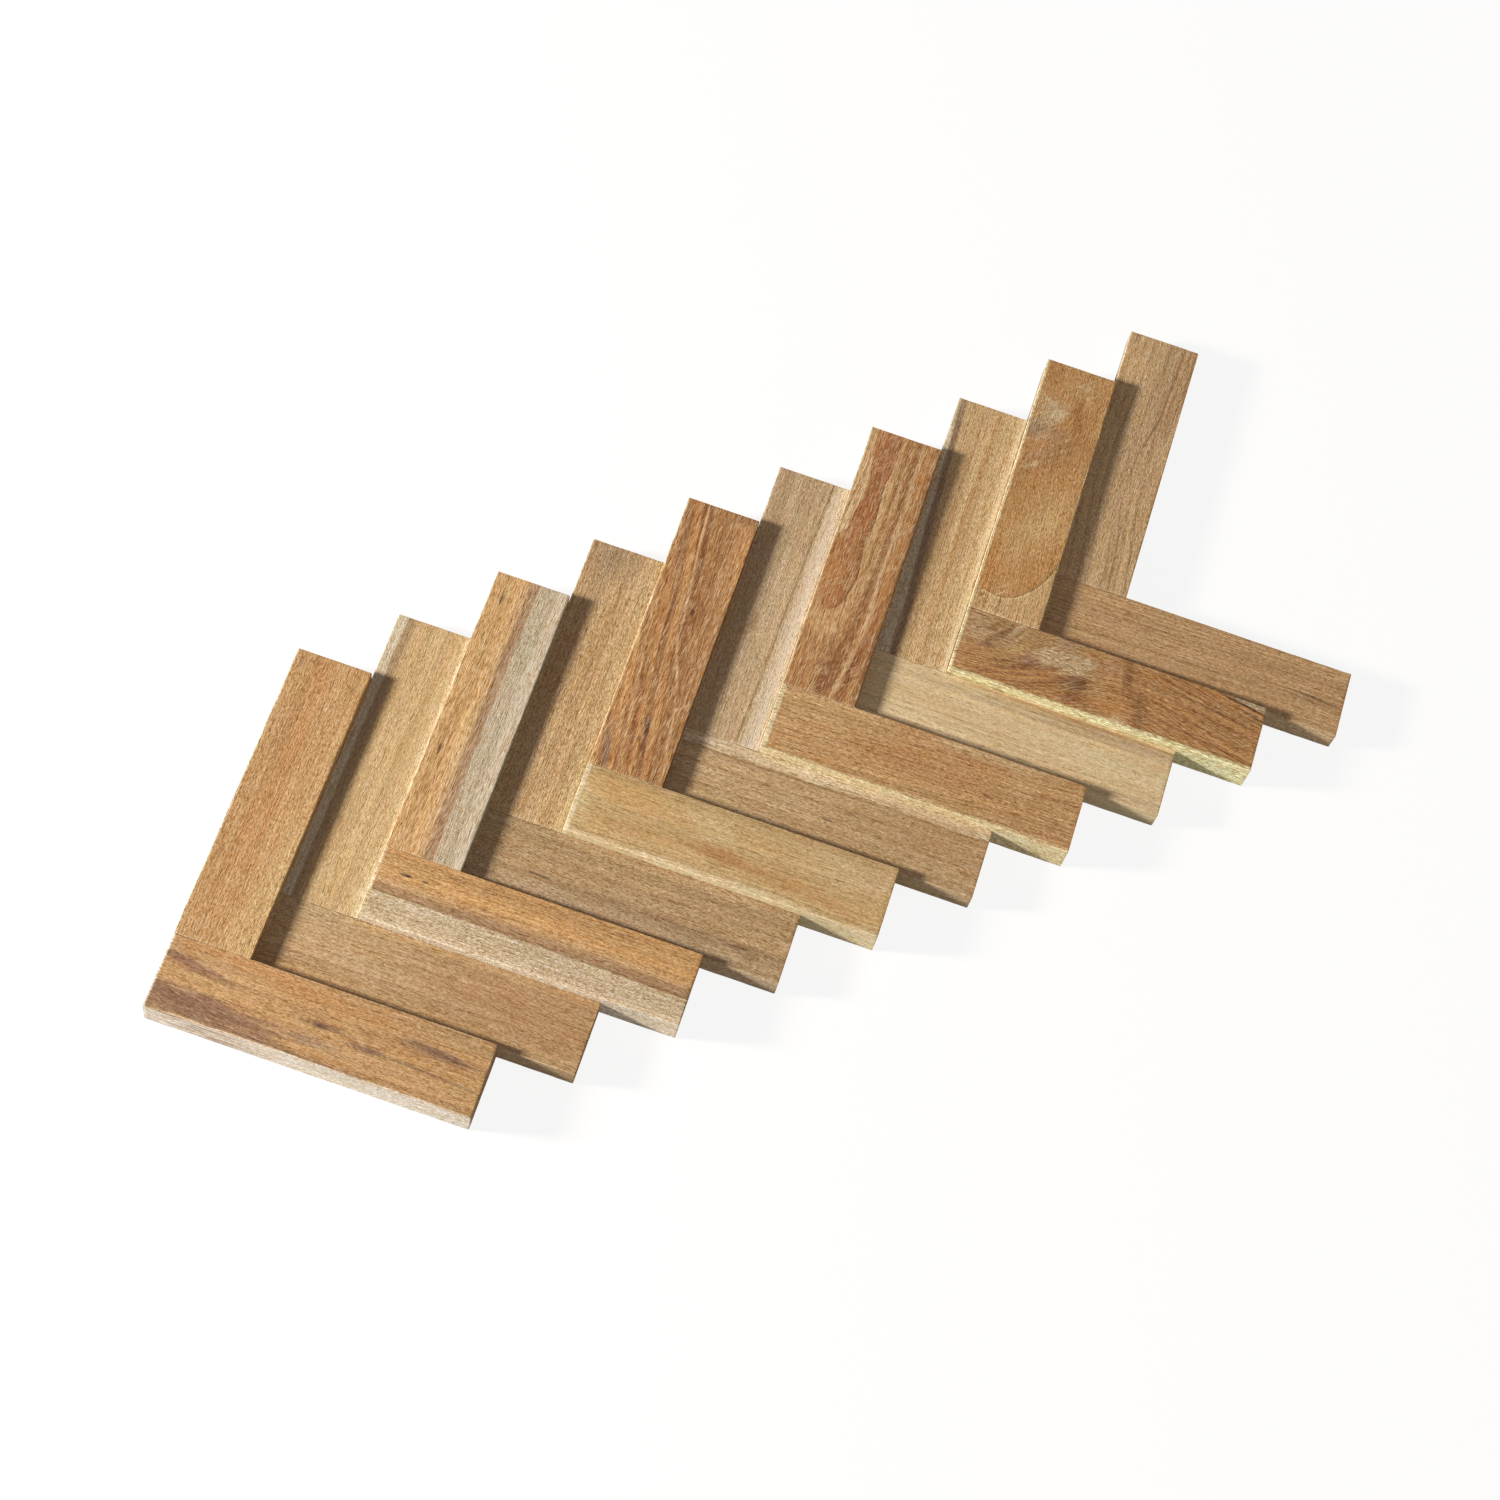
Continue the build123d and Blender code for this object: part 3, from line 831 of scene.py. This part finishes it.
barLooks["down_bar_06"] = {
    "heart": "#CFB185", "deep": "#BB996E", "lineAmount": 0.25,
    "marks": [
        band(0.8, 7.4, "#E0CBA8", 0.92, -0.3, 0.1, 0.3),
        band(8.6, 0.9, "#AA895A", 0.75, -0.3),
        band(48, 4, "#D9BC90", 0.6, 0, 0.3, 0.4, above=4, height=30),
        mark((96, 27.5), (3.8, 0.7), "#65492F", 0.85, 0, 0.5),
        mark((107, 20), (9, 0.5), "#866443", 0.6, -1),
        mark((150, 20), (48, 14), "#AE865A", 0.35, 0, 0.9),
    ],
}

barLooks["down_bar_07"] = {
    "heart": "#D8B07A", "deep": "#C2925C", "line": "#9C683C", "lineAmount": 0.5, "tilt": (0, -0.07, 0),
    "ringGap": 2.8, "wander": 3.0, "grain": 1.1, "rim": 3.0, "rimPale": 0.85, "rimColour": "#F0E2B8",
    "marks": [
        band(47, 4.4, "#F2DEAD", 0.9, 0, 0.3, 0.4, above=4, height=30),
        mark((95, 20), (48, 9), "#BA8552", 0.5, -8, 0.9),
        mark((30, 4), (42, 4), "#E2BF8A", 0.6, -4, 0.8),
        mark((130, 3), (32, 3), "#E3C699", 0.6, 0, 0.8),
        mark((134, 27.3), (2.8, 0.9), "#874C34", 0.85, 10),
        mark((175, 30), (14, 0.6), "#876242", 0.6, 2),
        mark((172, 15), (15, 0.8), "#986A48", 0.6, -6, 0.7),
    ],
}

# The palest bar, with a few brown lines along its upper edge
barLooks["down_bar_08"] = {
    "heart": "#F3DEB2", "deep": "#E1C28F", "lineAmount": 0.12, "grain": 0.5,
    "marks": [
        mark((130, 2.6), (72, 1.7), "#A47541", 0.65, 1),
        mark((120, 5.6), (60, 1.2), "#967A5D", 0.5, 1, 0.7),
        mark((112, 9.5), (56, 1.5), "#B89B7D", 0.5, 1, 0.8),
        mark((165, 6), (26, 3), "#BEA286", 0.5, 1, 0.8),
        mark((75, 28), (46, 1.1), "#C4A16C", 0.4, 1, 0.8),
        mark((30, 22), (26, 4), "#ECCE98", 0.4, 0, 0.9),
    ],
}

# Swirled, bleached grain round a knot, and fine curved rings past it
barLooks["down_bar_09"] = {
    "heart": "#D0A167", "deep": "#BB864B", "line": "#84502A", "lineAmount": 0.75, "ringGap": 2.4,
    "wander": 1.5, "knot": (106, 34, 18), "knotReach": (56, 60, 60), "knotPush": 26.0, "grain": 1.25,
    "gritLength": 3.0, "scratches": 0.45, "scratchLean": -30.0, "rim": 1.6, "rimPale": 0.9,
    "rimColour": "#F2E4B8",
    "marks": [
        band(47, 5.4, "#F8EFB8", 0.92, 0, 0.15, 0.3, above=4, height=30),
        mark((46, 9), (52, 14), "#B59264", 0.75, 0, 0.4, 1.4),
        mark((12, 11), (11, 8), "#C2A27A", 0.8, -15, 0.7, 1.6),
        mark((21, 5), (7, 2), "#A4804B", 0.75, -48, 0.5, 2.2),
        mark((27, 9.5), (5, 2.8), "#805933", 0.75, -40, 0.5, 2.2),
        mark((20, 15), (7, 2.4), "#86623C", 0.7, -50, 0.5, 2.4),
        mark((18, 21), (6, 2), "#8F5E48", 0.65, -15, 0.7, 1.8),
        mark((32, 6), (9, 1.6), "#D2B890", 0.75, -58, 0.7, 1.6),
        mark((36, 8), (8, 1), "#CEB182", 0.7, -60, 0.7, 1.6),
        mark((27.5, 14.5), (3, 3.4), "#B98E6C", 0.5, -50, 0.7, 1.4),
        mark((38, 16), (6, 2.6), "#D0AE6E", 0.65, -35, 0.7, 1.6),
        mark((45.5, 20), (5, 3.2), "#A6806F", 0.75, -30, 0.7, 2.2),
        mark((46, 17.5), (4, 0.7), "#D0B288", 0.6, -50, 0.7, 1.8),
        mark((55, 15), (7.4, 6), "#D6BC94", 0.85, -40, 0.4, 2.6),
        mark((71, 15.5), (11.6, 7.2), "#D6C09A", 0.88, -25, 0.35, 2.4),
        mark((68, 12), (7, 0.6), "#B08E66", 0.6, -55, 0.7, 1.2),
        mark((75, 17), (6, 0.6), "#E3CCA8", 0.7, -48, 0.7, 1.2),
        mark((66, 21), (7, 1), "#D8C090", 0.6, -35, 0.7, 1.6),
        mark((64, 3), (7, 3), "#B59A7C", 0.6, 0, 0.8, 1.6),
        mark((79.5, 5.5), (4.4, 2.6), "#C5864B", 0.7, 0, 0.8, 1.2),
        mark((88, 3), (8, 2.4), "#C49A62", 0.6, 0, 0.8, 1.2),
        mark((76, 27), (8.5, 4.4), "#603B1B", 0.9, -34, 0.6, 1.6),
        mark((66, 27), (9, 1.8), "#7F5030", 0.75, -28, 0.7, 1.6),
        mark((44, 25), (6, 1.4), "#744A32", 0.7, -22, 0.7, 1.4),
        mark((30, 27.5), (8, 1.2), "#845832", 0.65, -22, 0.7, 1.4),
        mark((75, 37), (9, 3.2), "#7C4227", 0.6, -18, 0.8, 1.4),
        mark((58, 33), (24, 0.8), "#996636", 0.6, -22, 0.7, 1.2),
        mark((50, 38), (24, 0.7), "#A0703E", 0.6, -20, 0.7, 1.2),
        mark((48, 31), (22, 0.6), "#BB8E5C", 0.55, -21, 0.7, 1.2),
        mark((40, 36.5), (24, 0.6), "#C69A69", 0.5, -19, 0.7, 1.2),
        mark((42, 28), (26, 1.6), "#895530", 0.6, -20, 0.8, 1.4),
        mark((30, 36), (30, 0.9), "#94633C", 0.6, -17, 0.8, 1.2),
        mark((93, 6), (10, 4), "#C0906A", 0.6, -62, 0.8, 2),
        mark((104, 10), (13, 3), "#875629", 0.7, 82, 0.8, 1.6),
        mark((115, 30), (11, 4.6), "#80532B", 0.65, 76, 0.8, 1.6),
        mark((100, 35), (9, 6), "#CE9658", 0.55, 0, 0.9),
        mark((104, 41.5), (6, 3), "#E6C898", 0.7),
        mark((142, 8), (26, 0.8), "#8E5B32", 0.75, 12),
        mark((158, 14), (30, 0.9), "#84522C", 0.8, 9),
        mark((150, 27), (34, 0.9), "#946036", 0.8, 12),
        mark((164, 21.5), (24, 0.8), "#905C32", 0.75, 10),
        mark((150, 35), (32, 0.8), "#8C582F", 0.7, 8),
        mark((178, 0), (18, 3.2), "#C6B494", 0.92, 10, 0.15, 0.2),
        mark((174, 3.4), (16, 0.8), "#4A3220", 0.9, 10.5, 0.5),
        mark((181, 9.2), (10, 0.8), "#5A3C26", 0.85, 15, 0.5),
    ],
}

barLooks["down_bar_10"] = {
    "heart": "#D9B383", "deep": "#C79F6E", "line": "#8E6A44", "lineAmount": 0.4, "tilt": (0, -0.02, 0),
    "ringGap": 2.8, "wander": 2.0,
    "marks": [
        band(48, 4, "#E8C99C", 0.8, 0, 0.3, 0.4, above=4, height=30),
        mark((170, 24), (16, 0.9), "#644A30", 0.75, 3),
        mark((165, 26.6), (14, 0.6), "#7A5A3C", 0.65, 3),
        mark((30, 20), (30, 0.5), "#917046", 0.45, -2),
    ],
}


def barPlace(node):
    # The bar's middle on the back, its thickness, and the turn of its run from +X
    low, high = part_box(node)
    middle = Vector(((low.x + high.x) / 2, (low.y + high.y) / 2, low.z))
    return middle, high.z - low.z, radians(barSize["run"] if node.startswith("up") else -barSize["run"])


def teakMaterial(node, seed):
    # Teak, sawn, sanded and left without oil: matt and dry, with silky fibres, open pores and pale hairs
    look = dict(plainTeak, **barLooks[node])
    middle, thickness, turn = barPlace(node)
    material = bpy.data.materials.new("sandedTeak_" + node)
    tree = emptyTree(material)

    def stained(under, pattern, amount, hexText):
        # Another colour over the one beneath it, as far as the pattern and the amount say
        share = addNode(tree, "ShaderNodeMath", {0: pattern, 1: amount}, operation="MULTIPLY")
        return addNode(tree, "ShaderNodeMix", {0: share, 6: under, 7: linearColour(hexText)},
                       data_type="RGBA").outputs[2]

    # The bar's own mm: x along it from its left end, y across its face from its upper edge, z above its back
    scale = (1 / mm, -1 / mm, 1 / mm)
    spin = Matrix.Rotation(turn, 3, "Z")
    offset = Vector((barSize["length"] / 2, barSize["width"] / 2, 0)) - spin @ Matrix.Diagonal(scale) @ middle
    where = addNode(tree, "ShaderNodeTexCoord")
    point = addNode(tree, "ShaderNodeMapping", {"Vector": where.outputs["Object"], "Location": offset,
                                                "Rotation": Euler((0, 0, turn)), "Scale": scale})
    figure = addNode(tree, "ShaderNodeGroup",
                     {"Point": point, "Seed": seed, "Pith": look["pith"], "Tilt": look["tilt"],
                      "Ring Gap": look["ringGap"], "Wander": look["wander"], "Knot": look["knot"],
                      "Knot Reach": look["knotReach"], "Knot Push": look["knotPush"]},
                     node_tree=teakFigure).outputs

    # Heartwood, its deeper patches, its ring lines, and years that differ in tone
    colour = stained(linearColour(look["heart"]), figure["Mottle"], look["deepAmount"], look["deep"])
    colour = stained(colour, figure["Ring Line"], look["lineAmount"], look["line"])
    tone = addNode(tree, "ShaderNodeMapRange",
                   {"Value": figure["Ring Tone"], "To Min": 1 - look["toneAmount"],
                    "To Max": 1 + look["toneAmount"]})
    colour = addNode(tree, "ShaderNodeVectorMath", {0: colour, "Scale": tone}, operation="SCALE")
    own = {}
    for key in ("speckle", "grain"):
        value = addNode(tree, "ShaderNodeValue")
        value.outputs[0].default_value = look[key]
        own[key] = value
    for each in look["marks"]:
        mask = addNode(tree, "ShaderNodeGroup",
                       {"Point": figure["Bent"], "Centre": each["at"], "Reach": each["reach"],
                        "Lean": -radians(each["lean"]), "Soft": each["soft"], "Fray": each["fray"]},
                       node_tree=woodMark)
        colour = stained(colour, mask, each["amount"], each["colour"])
        for key in own:
            if each[key] is not None:
                own[key] = addNode(tree, "ShaderNodeMix", {0: mask, 2: own[key], 3: each[key]})

    edge = addNode(tree, "ShaderNodeSeparateXYZ", {0: point})
    fibre = addNode(tree, "ShaderNodeMath", {0: own["grain"], 1: look["fibre"]}, operation="MULTIPLY")
    grit = addNode(tree, "ShaderNodeMath", {0: own["grain"], 1: look["grit"]}, operation="MULTIPLY")
    surface = addNode(tree, "ShaderNodeGroup",
                      {"Colour": colour, "Point": point, "Bent": figure["Bent"], "Seed": seed,
                       "Ring Line": figure["Ring Line"], "Fibre": fibre, "Grit": grit,
                       "Grit Length": look["gritLength"], "Pores": look["pores"], "Hairs": look["hairs"],
                       "Scratches": look["scratches"], "Scratch Lean": -radians(look["scratchLean"]),
                       "Speckle": own["speckle"], "Edge": edge.outputs["Y" if node.startswith("up") else "X"],
                       "Top": thickness / mm, "Rim": look["rim"], "Rim Pale": look["rimPale"],
                       "Rim Colour": linearColour(look["rimColour"]), "Along": spin @ Vector((1, 0, 0))},
                      node_tree=teakSurface).outputs
    bump = addNode(tree, "ShaderNodeBump",
                   {"Strength": 1.0, "Distance": sanding["relief"], "Height": surface["Height"]})
    teak = addNode(tree, "ShaderNodeBsdfPrincipled",
                   {"Base Color": surface["Colour"], "Roughness": surface["Roughness"], "Normal": bump,
                    "IOR": sanding["ior"], "Specular IOR Level": sanding["gloss"]})
    addNode(tree, "ShaderNodeOutputMaterial", {"Surface": teak})
    return material


print("teak bars")

sawnBar = {
    "rows": (110, 46, 20),    # of mesh points along, across and through a bar
    "arrisRows": 5,           # of them that round each arris
    "arris": 0.55,            # mm
    "wear": 0.45,             # how much the arris swells and shrinks along the bar
    "wearRun": 9,             # mm
    "ripple": 0.05,           # mm left by the planer and the sander
    "rippleSize": (7, 16, 9),
}


def sawnBarTree():
    # A block whose outer rows are rolled round an uneven sanded arris
    tree = newGroup("sawnBar", "GeometryNodeTree",
                    [("Length", "Float"), ("Width", "Float"), ("Thickness", "Float"), ("Arris", "Float"),
                     ("Wear", "Float"), ("Ripple", "Float"), ("Seed", "Float"), ("Middle", "Vector"),
                     ("Turn", "Rotation"), ("Material", "Material")],
                    [("Geometry", "Geometry")])
    given = addNode(tree, "NodeGroupInput").outputs
    rows = sawnBar["rows"]
    cube = addNode(tree, "GeometryNodeMeshCube",
                   {"Size": (2, 2, 2), "Vertices X": rows[0], "Vertices Y": rows[1], "Vertices Z": rows[2]})
    place = addNode(tree, "GeometryNodeInputPosition")
    side = addNode(tree, "ShaderNodeVectorMath", {0: place}, operation="SIGN")
    share = addNode(tree, "ShaderNodeVectorMath", {0: place}, operation="ABSOLUTE")

    # The block's half size, and where its arris starts
    size = addNode(tree, "ShaderNodeCombineXYZ",
                   {"X": given["Length"], "Y": given["Width"], "Z": given["Thickness"]})
    halfSize = addNode(tree, "ShaderNodeVectorMath", {0: size, "Scale": 0.5}, operation="SCALE")
    flat = addNode(tree, "ShaderNodeVectorMath", {0: halfSize, 1: given["Arris"]}, operation="SUBTRACT")

    # The outermost rows share out the arris, the others the flat between
    inner = tuple(1 - 2 * sawnBar["arrisRows"] / (count - 1) for count in rows)
    over = tuple(1 - value for value in inner)
    near = addNode(tree, "ShaderNodeVectorMath", {0: share, 1: inner}, operation="DIVIDE")
    near = addNode(tree, "ShaderNodeVectorMath", {0: near, 1: (1, 1, 1)}, operation="MINIMUM")
    near = addNode(tree, "ShaderNodeVectorMath", {0: near, 1: flat}, operation="MULTIPLY")
    far = addNode(tree, "ShaderNodeVectorMath", {0: share, 1: inner}, operation="SUBTRACT")
    far = addNode(tree, "ShaderNodeVectorMath", {0: far, 1: over}, operation="DIVIDE")
    far = addNode(tree, "ShaderNodeVectorMath", {0: far, 1: (0, 0, 0)}, operation="MAXIMUM")
    far = addNode(tree, "ShaderNodeVectorMath", {0: far, 1: given["Arris"]}, operation="MULTIPLY")
    block = addNode(tree, "ShaderNodeVectorMath", {0: near, 1: far}, operation="ADD")
    block = addNode(tree, "ShaderNodeVectorMath", {0: block, 1: side}, operation="MULTIPLY")

    # The arris is sanded more in some places than in others
    worn = addNode(tree, "ShaderNodeTexNoise", {"Vector": block, "W": given["Seed"],
                                                "Scale": 1 / (sawnBar["wearRun"] * mm), "Detail": 2.0},
                   noise_dimensions="4D")
    worn = addNode(tree, "ShaderNodeMapRange", {"Value": worn, "From Min": noiseSpan[0],
                                                "From Max": noiseSpan[1], "To Min": -1.0, "To Max": 1.0})
    worn = addNode(tree, "ShaderNodeMath", {0: worn, 1: given["Wear"], 2: 1.0}, operation="MULTIPLY_ADD")
    radius = addNode(tree, "ShaderNodeMath", {0: worn, 1: given["Arris"]}, operation="MULTIPLY")
    coreHalf = addNode(tree, "ShaderNodeVectorMath", {0: halfSize, 1: radius}, operation="SUBTRACT")
    minusHalf = addNode(tree, "ShaderNodeVectorMath", {0: coreHalf, "Scale": -1.0}, operation="SCALE")
    core = addNode(tree, "ShaderNodeVectorMath", {0: block, 1: coreHalf}, operation="MINIMUM")
    core = addNode(tree, "ShaderNodeVectorMath", {0: core, 1: minusHalf}, operation="MAXIMUM")
    out = addNode(tree, "ShaderNodeVectorMath", {0: block, 1: core}, operation="SUBTRACT")
    out = addNode(tree, "ShaderNodeVectorMath", {0: out}, operation="NORMALIZE")

    # Ripples along the bar, cut into the wood and never proud of it
    perRipple = tuple(1 / each for each in sawnBar["rippleSize"])
    ripple = addNode(tree, "ShaderNodeVectorMath", {0: block, 1: perRipple}, operation="MULTIPLY")
    ripple = addNode(tree, "ShaderNodeTexNoise",
                     {"Vector": ripple, "W": given["Seed"], "Scale": 1 / mm, "Detail": 1.0},
                     noise_dimensions="4D")
    ripple = addNode(tree, "ShaderNodeMath", {0: ripple, 1: given["Ripple"]}, operation="MULTIPLY")
    reach = addNode(tree, "ShaderNodeMath", {0: radius, 1: ripple}, operation="SUBTRACT")
    out = addNode(tree, "ShaderNodeVectorMath", {0: out, "Scale": reach}, operation="SCALE")
    final = addNode(tree, "ShaderNodeVectorMath", {0: core, 1: out}, operation="ADD")
    shaped = addNode(tree, "GeometryNodeSetPosition", {"Geometry": cube, "Position": final})

    # From its own middle to its place on the back plane
    lift = addNode(tree, "ShaderNodeMath", {0: given["Thickness"], 1: 0.5}, operation="MULTIPLY")
    lift = addNode(tree, "ShaderNodeCombineXYZ", {"Z": lift})
    target = addNode(tree, "ShaderNodeVectorMath", {0: given["Middle"], 1: lift}, operation="ADD")
    moved = addNode(tree, "GeometryNodeTransform",
                    {"Geometry": shaped, "Translation": target, "Rotation": given["Turn"]})
    smooth = addNode(tree, "GeometryNodeSetShadeSmooth", {"Geometry": moved})
    real = addNode(tree, "GeometryNodeRealizeInstances", {"Geometry": smooth})
    painted = addNode(tree, "GeometryNodeSetMaterial", {"Geometry": real, "Material": given["Material"]})
    addNode(tree, "NodeGroupOutput", {"Geometry": painted})
    return tree


sawnBarNodes = sawnBarTree()


def makeBar(node, seed):
    middle, thickness, turn = barPlace(node)
    maker = bpy.data.objects.new("maker", bpy.data.meshes.new("maker"))
    bpy.context.collection.objects.link(maker)
    modifier = maker.modifiers.new("sawnBar", "NODES")
    modifier.node_group = sawnBarNodes
    values = {
        "Length": barSize["length"] * mm, "Width": barSize["width"] * mm, "Thickness": thickness,
        "Arris": sawnBar["arris"] * mm, "Wear": sawnBar["wear"], "Ripple": sawnBar["ripple"] * mm,
        "Seed": float(seed), "Middle": middle, "Turn": Euler((0, 0, turn)),
        "Material": teakMaterial(node, seed),
    }
    for socket in sawnBarNodes.interface.items_tree:
        if socket.in_out == "INPUT":
            modifier[socket.identifier] = values[socket.name]
    evaluated = maker.evaluated_get(bpy.context.evaluated_depsgraph_get())
    mesh = bpy.data.meshes.new_from_object(evaluated)
    mesh.name = "teak_" + node
    bar = bpy.data.objects.new("teak_" + node, mesh)
    bpy.context.collection.objects.link(bar)
    bpy.data.objects.remove(maker)
    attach(bar, "root")
    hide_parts(node)


for seed, node in enumerate(sorted(barLooks), start=1):
    makeBar(node, seed)

print("done")
